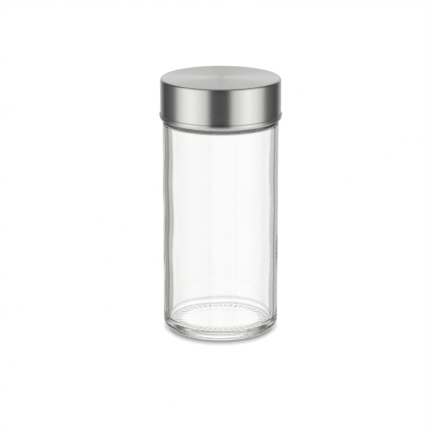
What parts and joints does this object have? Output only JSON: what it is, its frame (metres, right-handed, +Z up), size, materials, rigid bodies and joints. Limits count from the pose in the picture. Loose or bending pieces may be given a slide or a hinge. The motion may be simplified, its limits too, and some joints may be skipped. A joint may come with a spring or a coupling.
{
  "type": "spice jar",
  "caption": "Round clear glass spice jar with a brushed steel screw cap; inside the cap a moulded sleeve and a seal disc, in the neck a recessed sifter.",
  "frame": {"origin": "middle of the base, on the table", "axes": "+Z up along the jar's axis; the picture looks along +Y from slightly above, with +X to the right"},
  "size_m": [0.045, 0.045, 0.095],
  "materials": {
    "clear_glass": "clear, smooth, very slightly green in the thick base",
    "sifter_plastic": "moulded natural white",
    "seal_foam": "fine closed-cell foam sheet",
    "sleeve_plastic": "moulded, satin",
    "brushed_steel": "brushed round the axis, on the side and in rings on the top"
  },
  "bodies": {
    "jar": {"jar_glass": "clear_glass", "sifter_insert": "sifter_plastic"},
    "seal": {"cap_seal": "seal_foam"},
    "cap": {"cap_sleeve": "sleeve_plastic", "cap_shell": "brushed_steel"}
  },
  "joints": [
    {"name": "cap_lift", "type": "slide", "parent": "jar", "child": "seal", "axis": [0, 0, 1], "range_m": [0, 0.0127]},
    {"name": "cap_turn", "type": "hinge", "parent": "seal", "child": "cap", "pos_m": [0, 0, 0.0875], "axis": [0, 0, 1], "range_deg": [0, 1080]}
  ],
  "couplings": [
    {"joint": "cap_lift", "follows": "cap_turn", "m_per_rad": 0.00067322}
  ]
}
